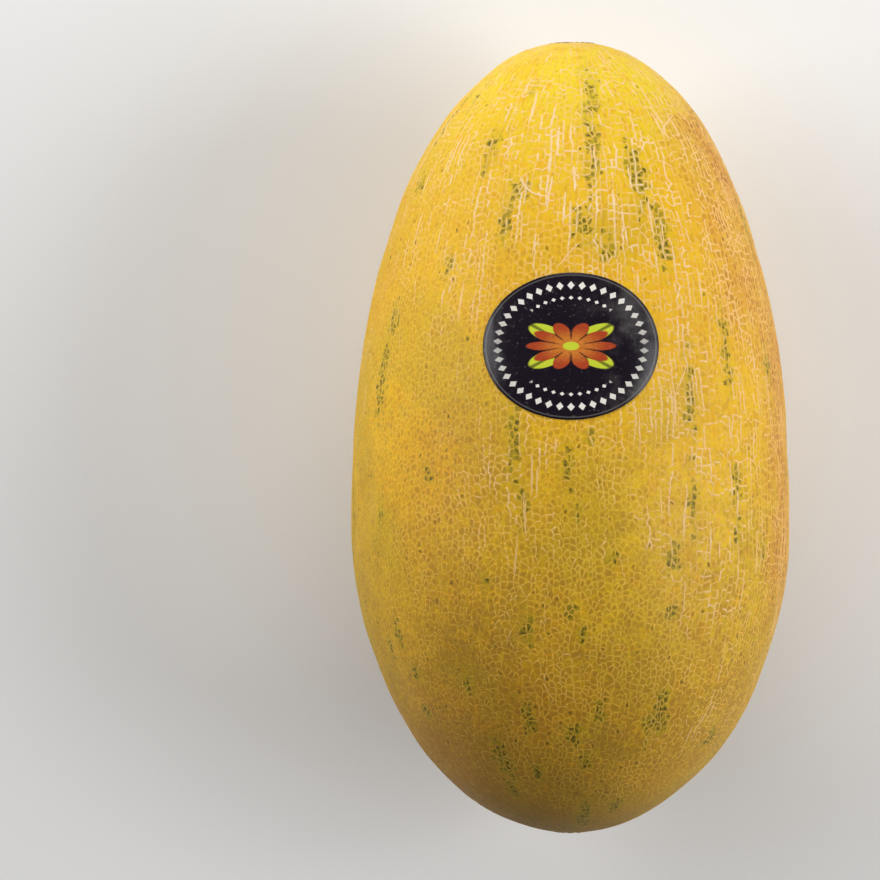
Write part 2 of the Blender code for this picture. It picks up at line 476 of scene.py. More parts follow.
def make_piece(name, points, faces, chart, material, attributes):
    """Builds a piece from arrays: points, faces of one size, the chart (turn, arc) of each point, and its
    attributes, one value or vector to a point."""
    points = points.astype(np.float32)
    faces = outward_faces(points, faces).astype(np.int32)
    mesh = bpy.data.meshes.new(name)
    mesh.vertices.add(len(points))
    mesh.vertices.foreach_set("co", points.ravel())
    mesh.loops.add(faces.size)
    mesh.loops.foreach_set("vertex_index", faces.ravel())
    mesh.polygons.add(len(faces))
    mesh.polygons.foreach_set("loop_start", np.arange(0, faces.size, faces.shape[1], dtype=np.int32))
    mesh.update(calc_edges=True)
    for title, values in attributes.items():
        kind, field = ("FLOAT_VECTOR", "vector") if values.ndim > 1 else ("FLOAT", "value")
        layer = mesh.attributes.new(title, kind, "POINT")
        layer.data.foreach_set(field, values.astype(np.float32).ravel())
    lay_out(mesh, faces, chart)
    mesh.shade_smooth()
    mesh.materials.append(material)
    piece = bpy.data.objects.new(name, mesh)
    bpy.context.scene.collection.objects.link(piece)
    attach(piece, BODY)
    return piece


def lay_out(mesh, faces, chart):
    """UV map from the chart: the turn across and the arc down, each face kept whole past the seam."""
    turn, arc = chart[faces[..., None], [0, 1]].transpose(2, 0, 1)
    turn = turn[:, :1] + (turn - turn[:, :1] + math.pi) % math.tau - math.pi
    low, high = turn.min(), turn.max()
    first, last = arc.min(), arc.max()
    spread = np.stack([(turn - low) / (high - low), (last - arc) / (last - first)], -1)
    spread = UV_MARGIN + (1 - 2 * UV_MARGIN) * spread
    layer = mesh.uv_layers.new(name="OFBake")
    layer.uv.foreach_set("vector", spread.astype(np.float32).ravel())


def grid_faces(rows, columns, closed=False):
    """Quads between neighbouring points of a grid, joined round where it is closed."""
    row, column = np.meshgrid(
        np.arange(rows - 1), np.arange(columns if closed else columns - 1), indexing="ij"
    )
    beside = (column + 1) % columns
    corners = [row * columns + column, (row + 1) * columns + column]
    corners += [(row + 1) * columns + beside, row * columns + beside]
    return np.stack(corners, -1).reshape(-1, 4)


# The net's pattern


class NetPattern:
    """The cells of the net on a chart of the skin, where a column of cells has one width from end to end."""

    def __init__(self, columns):
        self.columns = columns
        self.spacing = math.tau / columns
        middle = (RADIUS[1:] + RADIUS[:-1]) / 2
        self.chart = np.concatenate([[0], np.cumsum(np.diff(ARC) / (middle * TALLEST_CELL))])
        self.draw = np.random.default_rng(NET_SEED)
        self.find_cells()

    def arc_at(self, height):
        return np.interp(height, self.chart, ARC)

    def seeds(self):
        """One seed per cell, and the middle of its column. Each column is filled by its cells' local height,
        with a phase of its own, and each seed strays a little. The columns end one after the other towards
        the tips, in golden-ratio order, so that the cells keep their size where the body narrows."""
        start, end = np.interp([STEM_NET_START, SKIN_LENGTH - BLOSSOM_NET_START], ARC, self.chart)
        height = np.linspace(start, end, CHART_STEPS)
        arc = self.arc_at(height)
        turn = np.arange(self.columns) * self.spacing - math.pi
        bold = boldness(turn[None, :], arc[:, None])
        share = SQUATTEST_CELL + (1 - SQUATTEST_CELL) * bold
        density = 1 / (self.spacing / self.width_share(arc)[:, None] * share)
        filled = np.cumsum(density, 0) * (height[1] - height[0])
        found = []
        for column in range(self.columns):
            phase = self.draw.uniform(0, 1)
            rows = np.arange(0, filled[-1, column]) + phase
            where = np.interp(rows, filled[:, column], height)
            found.append(np.stack([np.full(len(where), turn[column]), where], -1))
        order = np.repeat(np.arange(self.columns), [len(part) for part in found])
        seed = np.concatenate(found)
        share = self.width_share(self.arc_at(seed[:, 1]))
        uneven = self.draw.uniform(-COLUMN_END_STRAY, COLUMN_END_STRAY, len(seed))
        kept = (order * COLUMN_ORDER) % 1 < share + uneven
        seed, share = seed[kept], share[kept]
        middle = seed[:, 0].copy()
        bold = boldness(seed[:, 0], self.arc_at(seed[:, 1]))
        stray = (STRAY_CELLS - BOLD_STRAY_DROP * bold) * self.spacing / share
        seed[:, 0] += self.draw.uniform(-1, 1, len(seed)) * stray
        along = FINE_ALONG_STRAY + (1 - FINE_ALONG_STRAY) * bold
        seed[:, 1] += self.draw.uniform(-1, 1, len(seed)) * stray * along
        return seed, middle

    def width_share(self, arc):
        """Share of the columns that is there."""
        return np.maximum(radius_of(arc) / BODY_RADIUS, FEWEST_COLUMNS)

    def find_cells(self):
        """The cell of a seed is bounded by the circumcentres of the triangles that meet at it, and each
        strand runs between the circumcentres of two triangles with a side in common. Seeds near the seam are
        repeated past it."""
        seed, middle = self.seeds()
        count = len(seed)
        late = seed[:, 0] > math.pi - SEAM_MARGIN
        early = seed[:, 0] < SEAM_MARGIN - math.pi
        point = np.concatenate([seed, seed[late] - (math.tau, 0), seed[early] + (math.tau, 0)])
        middle = np.concatenate([middle, middle[late] - math.tau, middle[early] + math.tau])
        found = delaunay_2d_cdt([Vector(place) for place in point.tolist()], [], [], 0, TINY)
        triangle = np.array(found[2])
        corner = self.line_up(circumcentres(point[triangle]), np.sort(middle[triangle], axis=1))
        sides = np.concatenate([triangle[:, [0, 1]], triangle[:, [1, 2]], triangle[:, [2, 0]]])
        owner = np.tile(np.arange(len(triangle)), 3)
        sides.sort(axis=1)
        key = sides[:, 0] * len(point) + sides[:, 1]
        order = np.argsort(key, kind="stable")
        twin = np.flatnonzero(key[order][1:] == key[order][:-1])
        first, second = order[twin], order[twin + 1]
        pair = sides[first]
        ends = np.stack([owner[first], owner[second]], -1)
        limits = [STEM_NET_START + NET_END_MARGIN, SKIN_LENGTH - BLOSSOM_NET_START - NET_END_MARGIN]
        low, high = np.interp(limits, ARC, self.chart)
        inside = ((corner[:, 1] > low) & (corner[:, 1] < high))[ends].all(1)
        self.seed = seed
        self.count = count
        self.corner = corner
        self.ends = ends[inside]
        self.pair = pair[inside]

    def line_up(self, corner, columns):
        """Draws corners towards the line between their two columns where the net is bold, so that its
        uprights run straight and its rungs meet them in T shapes."""
        arc = self.arc_at(corner[:, 1])
        place = axis_points(corner[:, 0], arc)
        low, middle, high = columns.T
        two = (high - low > TINY) & ((middle - low < TINY) | (high - middle < TINY))
        line = (low + high) / 2 + LINE_WOBBLE * (high - low) * ripple(place, LINE_WOBBLE_LENGTH, 8)
        pull = LINE_PULL * boldness(corner[:, 0], arc) * two
        return np.stack([corner[:, 0] + pull * (line - corner[:, 0]), corner[:, 1]], -1)

    def settle(self, point):
        """Turn and arc of chart points, after the columns' common wander and their crowding side by side."""
        arc = self.arc_at(point[..., 1])
        place = axis_points(point[..., 0], arc)
        wander = WANDER_CELLS * ripple(place, WANDER_LENGTH, 7)
        crowding = CROWDING_CELLS * ripple(place * (1.0, 0.2, 1.0), CROWDING_LENGTH, 9)
        return point[..., 0] + (wander + crowding) * self.spacing, arc


def circumcentres(triangle):
    """The point at one distance from the three corners of each flat triangle."""
    a, b, c = triangle[:, 0], triangle[:, 1], triangle[:, 2]
    ab, ac = b - a, c - a
    cross = 2 * (ab[:, 0] * ac[:, 1] - ab[:, 1] * ac[:, 0])
    ab2, ac2 = (ab**2).sum(1), (ac**2).sum(1)
    x = (ac[:, 1] * ab2 - ab[:, 1] * ac2) / cross
    y = (ab[:, 0] * ac2 - ac[:, 0] * ab2) / cross
    return a + np.stack([x, y], -1)


# Shader expressions


class Signal:
    """A shader node's output. Arithmetic on it adds Math nodes."""

    def __init__(self, paint, socket):
        self.paint = paint
        self.socket = socket

    def math(self, operation, *values, clamp=False):
        settings = {"operation": operation, "use_clamp": clamp}
        return self.paint.node("ShaderNodeMath", settings, dict(enumerate(values)))

    def __add__(self, other):
        return self.math("ADD", self, other)

    def __sub__(self, other):
        return self.math("SUBTRACT", self, other)

    def __rsub__(self, other):
        return self.math("SUBTRACT", other, self)

    def __mul__(self, other):
        return self.math("MULTIPLY", self, other)

    def __truediv__(self, other):
        return self.math("DIVIDE", self, other)

    def __pow__(self, other):
        return self.math("POWER", self, other)

    __radd__ = __add__
    __rmul__ = __mul__

    def clamp(self):
        return self.math("ADD", self, 0.0, clamp=True)

    def absolute(self):
        return self.math("ABSOLUTE", self)

    def step(self, low, high):
        """Rises smoothly from none at low to one at high, or falls where low is the larger."""
        settings = {"interpolation_type": "SMOOTHSTEP"}
        inputs = {"Value": self, "From Min": low, "From Max": high}
        return self.paint.node("ShaderNodeMapRange", settings, inputs)


class Paint:
    """A material under construction."""

    def __init__(self, name, specular=0.5):
        self.material = bpy.data.materials.new(name)
        self.material.use_nodes = True
        self.tree = self.material.node_tree
        self.shader = self.tree.nodes["Principled BSDF"]
        self.shader.inputs["Specular IOR Level"].default_value = specular

    def node(self, kind, settings=None, inputs=None, output=0):
        """Adds a node: its settings first, then its inputs as values or links, and returns one output."""
        node = self.tree.nodes.new(kind)
        for title, value in (settings or {}).items():
            setattr(node, title, value)
        for title, value in (inputs or {}).items():
            self.feed(node.inputs[title], value)
        return Signal(self, node.outputs[output])

    def feed(self, socket, value):
        if isinstance(value, Signal):
            self.tree.links.new(value.socket, socket)
        elif hasattr(value, "__len__") and socket.type == "RGBA":
            socket.default_value = (*value[:3], 1.0)
        else:
            socket.default_value = value

    def mix(self, factor, first, second):
        """Mixes two colours, whose sockets are numbers 6 and 7, and number 2 on the way out."""
        return self.node("ShaderNodeMix", {"data_type": "RGBA"}, {0: factor, 6: first, 7: second}, 2)

    def layer(self, color, *coats):
        """Lays coats over a colour one after the other, each given as its share and its own colour."""
        for share, coat in coats:
            color = self.mix(share, color, coat)
        return color

    def attribute(self, name, output="Fac"):
        return self.node("ShaderNodeAttribute", {"attribute_name": name}, output=output)

    def place(self):
        return self.node("ShaderNodeTexCoord", output="Object")

    def noise(self, vector, scale, detail=2.0, roughness=0.5):
        """Soft noise from about 0.2 to 0.8, in waves to a metre."""
        inputs = {"Vector": vector, "Scale": scale, "Detail": detail, "Roughness": roughness}
        return self.node("ShaderNodeTexNoise", None, inputs)

    def stretch(self, vector, scale):
        return self.node("ShaderNodeVectorMath", {"operation": "MULTIPLY"}, {0: vector, 1: scale})

    def parts(self, vector):
        node = self.node("ShaderNodeSeparateXYZ", None, {0: vector}).socket.node
        return [Signal(self, output) for output in node.outputs]

    def bump(self, height, strength, distance):
        inputs = {"Height": height, "Strength": strength, "Distance": distance}
        return self.node("ShaderNodeBump", None, inputs)

    def finish(self, **inputs):
        """Feeds the surface shader, each input by its name with spaces for underscores."""
        for title, value in inputs.items():
            self.feed(self.shader.inputs[title.replace("_", " ").title()], value)
        return self.material


def painted_tip_shade(side, along):
    """Where painted shade browns the skin: round the blossom end's tip, and further up on its -X flank."""
    return (along.step(*TIP) + side.step(*LEFT_FLANK) * along.step(*LEFT_FLANK_END)).clamp()


def skin_ground(paint, skin):
    """The skin's slow colour changes: lemon towards the stem, umber in clouds, orange patches and blush.
    Painted shade darkens it towards umber at the blossom end and on the low flanks, adds olive low round the
    melon, a painted shadow patch on the -X flank, and a dark brown tip."""
    place = paint.place()
    side, along, height = paint.parts(place)
    # Painted shade mask: the low flanks, short of the stem end
    low = height.step(*SHADED_LOW_FLANKS) * along.step(*SHORT_OF_STEM)
    broad = paint.noise(place, 9.0)
    lemon = along.step(0.07, 0.135) * 0.75 + broad.step(0.45, 0.70) * 0.25 * along.step(0.0, 0.08)
    lemon = lemon + side.step(-0.015, 0.030) * along.step(0.010, -0.040) * 0.50
    # Painted shade: darker towards the blossom half and its end, and on the low flanks; the clouds and
    # mottling added below are the skin's own uneven tone
    shade_and_mottling = along.step(0.03, -0.08) * (0.35 + 0.30 * broad) + along.step(-0.045, -0.115) * 0.52
    # Painted shadow: a dark patch on the -X flank of the blossom half
    painted_shadow_patch = (side + 0.034).absolute().step(0.036, 0.0) * (along + 0.074).absolute().step(0.050, 0.0)
    shade_and_mottling = shade_and_mottling + low * (0.16 + 0.30 * along.step(-0.02, -0.09)) + painted_shadow_patch * 0.42
    clouds = (paint.noise(place, 120.0, 3.0, 0.6) - 0.5) * 1.9
    mottling = (paint.noise(place, 420.0, 2.0, 0.6) - 0.5) * 1.4
    shade_and_mottling = shade_and_mottling + (clouds + mottling) * along.step(0.09, 0.0)
    patches = paint.noise(place, 30.0, 3.0)
    blotches = paint.noise(place, 230.0, 3.0, 0.6)
    color = paint.layer(
        skin.gold,
        (lemon, skin.lemon),
        (shade_and_mottling.clamp(), skin.umber),
        (patches.step(0.48, 0.70) * 0.35, skin.orange),
        (blotches.step(0.50, 0.68) * 0.50, skin.orange),
        (blotches.step(0.46, 0.32) * 0.40 * lemon, skin.lemon),
        # Painted shade: the low flanks darkened towards olive
        (low * 0.25, skin.olive),
        # Painted shade: dark brown round the blossom end's tip and up its -X flank
        (painted_tip_shade(side, along) * 0.55, skin.painted_shade_brown),
        (paint.attribute("olive"), skin.olive),
        (paint.attribute("blush"), skin.blush),
    )
    return color, place


def skin_material(skin):
    """Skin between the strands: each cell has its own tint and a darker middle, with pores and short streaks
    all over. The flecks are green cells with dark breaks, and lone cells have a dark speck in the middle."""
    paint = Paint("golden rind", specular=0.16)
    ground, place = skin_ground(paint, skin)
    side = paint.parts(place)[0]
    tint = paint.attribute("tint")
    centre = paint.attribute("centre")
    quiet = 1.0 - paint.attribute("bold")
    dull = centre.step(0.05, 0.55) * (0.20 + 0.90 * tint) * (0.10 + 0.90 * quiet)
    dull = dull * (0.45 + 0.55 * side.step(-0.070, -0.020) - 0.30 * side.step(0.000, 0.045))
    burnt = paint.attribute("blush") * centre.step(0.15, 0.60) * tint.step(0.35, 0.75)
    grain = paint.stretch(paint.attribute("grain", "Vector"), (1.0, 0.4, 1.0))
    streaks = paint.noise(grain, 620.0, 3.0, 0.55)
    halo, fleck = paint.attribute("halo"), paint.attribute("fleck")
    breaks = paint.noise(place, 700.0, 4.0, 0.65)
    dots = paint.noise(place, 800.0)
    speck = paint.attribute("speck") + (dots - 0.5) * 0.7
    pores = paint.noise(place, 1000.0)
    color = paint.layer(
        ground,
        (tint.step(0.55, 1.0) * 0.40, skin.orange),
        (tint.step(0.45, 0.0) * 0.30, skin.lemon),
        (dull, skin.umber),
        ((burnt * 1.30).clamp(), skin.burnt),
        (streaks.step(0.50, 0.72) * 0.40, skin.umber),
        (streaks.step(0.48, 0.28) * 0.30, skin.lemon),
        (halo * 0.50, skin.lime),
        ((fleck + (breaks - 0.5) * 1.8).step(0.20, 0.70) * 0.78, skin.green),
        ((fleck * 0.9 + (dots - 0.5) * 2.4).step(0.50, 0.95) * 0.85, skin.dark),
        (speck.step(0.35, 0.80) * 0.75, skin.dark),
        (pores.step(0.62, 0.74) * (0.15 + 0.20 * quiet), skin.dark),
    )
    normal = paint.bump(streaks + pores * 0.6, 0.25, 0.0003)
    return paint.finish(base_color=color, roughness=0.46 + 0.10 * pores, normal=normal)


def net_material(net, skin):
    """Cork strands: golden where fine and cream where bold, peach over the blush, running out into the skin's
    own colour at their feet, with a fine crackle."""
    paint = Paint("corky net", specular=0.16)
    ground, place = skin_ground(paint, skin)
    side, along, height = paint.parts(place)
    strength, crest = paint.attribute("strength"), paint.attribute("crest")
    mottle = paint.noise(place, 420.0, 3.0)
    cream = (strength + along.step(0.02, 0.10) * 0.25).step(0.05, 0.60) * 0.95 + (mottle - 0.5) * 0.6
    pale = paint.noise(place, 160.0).step(0.50, 0.72) * 0.7 + along.step(0.04, 0.11) * 0.65
    cork = paint.layer(
        net.gold,
        (cream.clamp(), net.cream),
        ((pale * strength.step(0.20, 0.70)).clamp(), net.pale),
        (paint.attribute("blush") * 0.65, net.peach),
        # Painted shade: strands dulled to their fine gold on the low flanks
        (height.step(*SHADED_LOW_FLANKS) * 0.50, net.gold),
        # Painted shade: strands browned round the blossom end's tip
        (painted_tip_shade(side, along) * 0.50, skin.painted_shade_brown),
    )
    color = paint.layer(
        ground,
        (crest.step(0.10, 1.0) * paint.attribute("cover"), cork),
        (paint.attribute("fleck") * crest.step(1.3, 0.2) * 0.5, skin.green),
    )
    crackle = paint.noise(place, 2200.0)
    normal = paint.bump(crackle + mottle, 0.20, 0.0002)
    return paint.finish(base_color=color, roughness=0.52 + 0.16 * crackle, normal=normal)


def scar_material(scars, skin):
    """Dried scar cork: grey-tan with darker rings and cracks, running out into the skin."""
    paint = Paint("scar cork")
    mottle = paint.noise(paint.place(), 500.0, 4.0, 0.6)
    color = paint.layer(
        scars.brown,
        (mottle.step(0.35, 0.7), scars.tan),
        (paint.attribute("depth") * 0.75, scars.crack),
        (paint.attribute("skin"), skin.gold),
    )
    normal = paint.bump(mottle, 0.6, 0.0006)
    return paint.finish(base_color=color, roughness=0.66 + 0.14 * mottle, normal=normal)


# Flecks and blush


def all_flecks():
    """The seen flecks and, on the far side, seeded ones of the same kind, as one array."""
    draw = np.random.default_rng(FLECK_SEED)
    hidden = [draw.uniform(low, high, HIDDEN_FLECKS) for low, high in HIDDEN_FLECK_RANGES]
    return np.concatenate([np.array(FLECKS), np.stack(hidden, -1)])


def fleck_share(turn, arc):
    """How green a place is: the strongest fleck there, each an ellipse along the melon with a ragged edge."""
    place = axis_points(turn, arc)
    ragged = 0.45 * ripple(place, 0.006, 12) + 0.40 * ripple(place, 0.0032, 13)
    nearest = np.full(turn.shape, np.inf)
    for fleck_turn, station, length, width in all_flecks():
        across = (turn - math.radians(fleck_turn) + math.pi) % math.tau - math.pi
        across = across * radius_of(arc) / (width / 2)
        along = (station_of(arc) - station) / (length / 2)
        nearest = np.minimum(nearest, np.hypot(across, along))
    return smoothstep((1.75 + 0.5 * ragged - nearest) / 1.3)


def olive_share(turn, arc):
    """Dull greenish skin: a patch below the label, the -X flank, and faint patches elsewhere."""
    place = axis_points(turn, arc)
    side, along = place[..., 0], place[..., 1]
    flank = smoothstep((-side - 0.040) / 0.025) * smoothstep((0.060 - np.abs(along + 0.035)) / 0.030)
    patch = np.hypot((turn - 0.08) / 0.17, (along - 0.002) / 0.026)
    faint = smoothstep(ripple(place, 0.045, 33) - 0.5)
    return np.clip(0.45 * smoothstep(1.4 - patch) + 0.22 * flank + 0.30 * faint * (along < 0.14), 0, 1)


def blush_share(turn, arc):
    """Sunburnt skin high on the +X flank, a reddish edge lower down, warm skin on the -X side of the blossom
    half, and faint patches elsewhere."""
    place = axis_points(turn, arc)
    side, along = place[..., 0], place[..., 1]
    upper = smoothstep((turn - 0.55) / 0.5) * smoothstep((2.2 - turn) / 0.5)
    upper = upper * smoothstep((along - 0.045) / 0.035) * smoothstep((0.155 - along) / 0.02)
    upper = upper * (0.85 + 0.35 * smoothstep((turn - 1.0) / 0.4))
    lower = smoothstep((side - 0.062) / 0.014) * smoothstep((0.068 - np.abs(along - 0.018)) / 0.03)
    left = smoothstep((-side - 0.010) / 0.03) * smoothstep((-along - 0.045) / 0.04)
    patchy = np.clip(0.70 + 0.16 * ripple(place, 0.030, 31) + 0.12 * ripple(place, 0.010, 34), 0, 1)
    faint = 0.12 * smoothstep(ripple(place, 0.060, 32) - 0.6)
    return np.clip((0.70 * upper + 0.85 * lower + 0.38 * left) * patchy + faint, 0, 1)


# Operators


class CANTALOUPE_OT_skin(bpy.types.Operator):
    """Build the skin from the net's cells, one piece for each half of the melon"""

    bl_idname = "cantaloupe.skin"
    bl_label = "Skin"

    def execute(self, context):
        net = NetPattern(context.scene.cantaloupe_net.columns)
        build_skin(net, skin_material(context.scene.cantaloupe_skin))
        return {"FINISHED"}


def build_skin(net, material):
    """Each cell is a low pillow: a fan of triangles from its seed to its corners. A cell's own tint, fleck
    and speck are set at its seed and fade towards its corners."""
    first = np.concatenate([net.pair[:, 0], net.pair[:, 1]])
    ends = np.concatenate([net.ends, net.ends[:, ::-1]])
    own = first < net.count
    first, ends = first[own], ends[own]
    used, ends = np.unique(ends, return_inverse=True)
    seed_turn, seed_arc = net.settle(net.seed)
    turn, arc = net.settle(net.corner[used])
    corner_points = on_body(turn, arc, 0.0)
    rounded = np.round(corner_points, 7)
    _, kept, merged = np.unique(rounded, axis=0, return_index=True, return_inverse=True)
    ends = merged.ravel()[ends.reshape(-1, 2)]
    points = np.concatenate([on_body(seed_turn, seed_arc, CELL_PILLOW), corner_points[kept]])
    turn = np.concatenate([seed_turn, turn[kept]])
    arc = np.concatenate([seed_arc, arc[kept]])
    faces = np.column_stack([first, ends + net.count])
    faces = faces[faces[:, 1] != faces[:, 2]]
    bold = boldness(turn, arc)
    halo = fleck_share(turn, arc)
    draw = np.random.default_rng(NET_SEED + 1)
    own = np.arange(len(points)) < net.count
    tint = np.where(own, draw.uniform(0, 1, len(points)), 0.5)
    station = station_of(arc)
    lower = smoothstep((0.005 - station) / 0.05)
    upper = smoothstep((station - 0.134) / 0.014)
    fleck = (1.8 + 0.5 * lower - 0.8 * upper) * halo - 1.1 * draw.uniform(0, 1, len(points))
    fleck = np.where(own, fleck, (0.40 + 0.25 * lower) * halo)
    lone = draw.uniform(0, 1, len(points)) < LONE_SPECKS * (1.3 - bold)
    values = {
        "centre": own.astype(float),
        "bold": bold,
        "tint": tint,
        "halo": halo,
        "fleck": np.clip(fleck, 0, 1),
        "speck": own * lone * draw.uniform(0.4, 1.0, len(points)),
        "blush": blush_share(turn, arc),
        "olive": olive_share(turn, arc),
        "grain": grain_points(turn, arc),
    }
    chart = np.column_stack([turn, arc])
    on_stem_half = seed_arc[faces[:, 0]] < arc_of(WAIST_STATION)
    for name, these in (("rind_stem_half", on_stem_half), ("rind_blossom_half", ~on_stem_half)):
        used, part = np.unique(faces[these], return_inverse=True)
        part = part.reshape(-1, 3)
        attributes = {title: value[used] for title, value in values.items()}
        piece = make_piece(name, points[used], part, chart[used], material, attributes)
        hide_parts("melon")


def grain_points(turn, arc):
    """Coordinates that run along the skin, so that a pattern on them can be drawn out from end to end."""
    return np.stack([BODY_RADIUS * np.sin(turn), arc, BODY_RADIUS * np.cos(turn)], -1)


class CANTALOUPE_OT_net(bpy.types.Operator):
    """Build the raised net, one piece for each belt of the melon"""

    bl_idname = "cantaloupe.net"
    bl_label = "Net"

    def execute(self, context):
        settings = context.scene.cantaloupe_net
        material = net_material(settings, context.scene.cantaloupe_skin)
        build_strands(NetPattern(settings.columns), settings, material)
        return {"FINISHED"}


def strand_strength(net, middle, meridional, bold, draw):
    """How strong each strand is, and how likely it is to be missing: streaks follow one column line for some
    way, the cross strands are weaker, and there are patches with hardly any net."""
    turn, arc = net.settle(middle)
    place = axis_points(turn, arc)
    presence = 0.45 + 0.55 * smoothstep((ripple(place * (1.0, 0.6, 1.0), PATCH_LENGTH, 61) + 1.7) / 1.7)
    lines = 2 * net.columns
    line = np.floor(middle[:, 0] * 2 / net.spacing + 0.5).astype(int) % lines
    rows = int(SKIN_LENGTH / STREAK_LENGTH) + 3
    table = draw.uniform(0, 1, (lines, rows))
    where = arc / STREAK_LENGTH + draw.uniform(0, 1, lines)[line]
    row = np.floor(where).astype(int)
    blend = smoothstep(where - row)
    streak = table[line, row] * (1 - blend) + table[line, row + 1] * blend
    rung = smoothstep((ripple(place * (0.35, 1.0, 0.35), RUNG_LENGTH, 62) - 0.5) / 0.9)
    own = draw.uniform(0, 1, len(middle))
    upright = 0.75 * smoothstep((streak - 0.52) / 0.35) * smoothstep((meridional - 0.45) / 0.4)
    across = (0.45 * rung + 0.40 * own**4) * (1 - meridional)
    strength = (0.08 + 0.20 * own + upright + across) * (0.08 + 0.92 * bold) * presence
    strength = strength + 0.12 * draw.uniform(0, 1, len(middle)) ** 1.5 * presence
    missing = 0.10 + 0.18 * bold * (1 - own) + 0.40 * (1 - presence)
    missing = missing + 0.10 * bold * meridional * smoothstep((0.5 - streak) / 0.5)
    return np.clip(strength, 0, 1), missing


def cork_cover(turn, arc, strength, draw):
    """How opaque each strand's cork is: faint on the -X flank, fuller on the other one and when strong."""
    place = axis_points(turn, arc)
    side, along = place[..., 0], place[..., 1]
    cover = 0.61 + 3.3 * np.minimum(side, 0.045) + 0.14 * ripple(place, 0.016, 71)
    cover = cover - 0.15 * smoothstep((along - 0.075) / 0.03)
    return np.clip(cover + draw.uniform(-0.28, 0.22, len(turn)) + 0.8 * strength, 0.20, 1.0)


def build_strands(net, settings, material):
    """Each strand runs between two corners of cells as a low ridge: its foot, crest and foot at either end,
    with the feet a little past the corner and sunk into the skin."""
    ends = net.corner[net.ends]
    middle = ends.mean(1)
    own = (middle[:, 0] >= -math.pi) & (middle[:, 0] < math.pi)
    ends, middle = ends[own], middle[own]
    arc = net.arc_at(middle[:, 1])
    radius = radius_of(arc)
    run = (ends[:, 1] - ends[:, 0]) * np.stack([radius, radius * TALLEST_CELL], -1)
    length = np.linalg.norm(run, axis=1)
    meridional = np.abs(run[:, 1]) / np.maximum(length, TINY)
    bold = boldness(middle[:, 0], arc)
    draw = np.random.default_rng(NET_SEED + 2)
    strength, missing = strand_strength(net, middle, meridional, bold, draw)
    kept = (draw.uniform(0, 1, len(middle)) > missing) & (length > SHORTEST_STRAND)
    ends, strength, middle = ends[kept], strength[kept], middle[kept]
    half = settings.fine_half_width + (settings.bold_half_width - settings.fine_half_width) * strength
    high = settings.fine_height + (settings.bold_height - settings.fine_height) * strength
    turn, arc = net.settle(ends)
    under = label_distance(*net.settle(middle)) < LABEL_EDGE
    high = np.where(under, high * LABEL_PRESS, high)
    radius = radius_of(arc)
    # Unit vectors in the skin, along each strand and to its side
    run_turn = (turn[:, 1] - turn[:, 0]) * radius.mean(1)
    run_arc = arc[:, 1] - arc[:, 0]
    length = np.maximum(np.hypot(run_turn, run_arc), SHORTEST_RUN)
    ahead = np.stack([run_turn, run_arc], -1) / length[:, None]
    side = np.stack([-ahead[:, 1], ahead[:, 0]], -1)
    scale = np.stack([1 / radius.mean(1), np.ones(len(radius))], -1)

    def station(index, forward, sideways):
        base = np.stack([turn[:, index], arc[:, index]], -1)
        return base + (ahead * forward[:, None] + side * sideways[:, None]) * scale

    past, none = half * TIP_REACH, np.zeros_like(half)
    chart = np.stack(
        [
            station(end, forward, sideways)
            for end, tip in ((0, -past), (1, past))
            for forward, sideways in ((tip, -half), (none, none), (tip, half))
        ],
        1,
    )
    crest = np.tile([0, 1, 0, 0, 1, 0], (len(half), 1))
    lift = np.where(crest, high[:, None], -STRAND_FOOT)
    fan = np.array([[0, 1, 4], [0, 4, 3], [1, 2, 5], [1, 5, 4], [0, 2, 1], [3, 4, 5]])
    count = crest.shape[1]
    spot = net.settle(middle)
    shares = {
        "strength": strength,
        "fleck": fleck_share(*spot),
        "blush": blush_share(*spot),
        "olive": olive_share(*spot),
        "cover": cork_cover(*spot, strength, draw),
    }
    names = ("net_stem_end", "net_shoulder", "net_label_belt", "net_waist", "net_blossom_end")
    limits = np.quantile(middle[:, 1], np.arange(1, len(names)) / len(names))
    belts = np.digitize(middle[:, 1], limits)
    for belt, name in enumerate(names):
        these = belts == belt
        faces = (np.arange(these.sum())[:, None, None] * count + fan).reshape(-1, 3)
        spots = chart[these].reshape(-1, 2)
        points = on_body(*spots.T, lift[these].ravel())
        attributes = {title: np.repeat(share[these], count) for title, share in shares.items()}
        attributes["crest"] = crest[these].ravel()
        piece = make_piece(name, points, faces, spots, material, attributes)
        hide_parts("melon")


class CANTALOUPE_OT_long_strands(bpy.types.Operator):
    """Build the long strands that cross many cells"""

    bl_idname = "cantaloupe.long_strands"
    bl_label = "Long strands"

    def execute(self, context):
        material = bpy.data.materials["corky net"]
        build_long_strands(context.scene.cantaloupe_net, material)
        return {"FINISHED"}


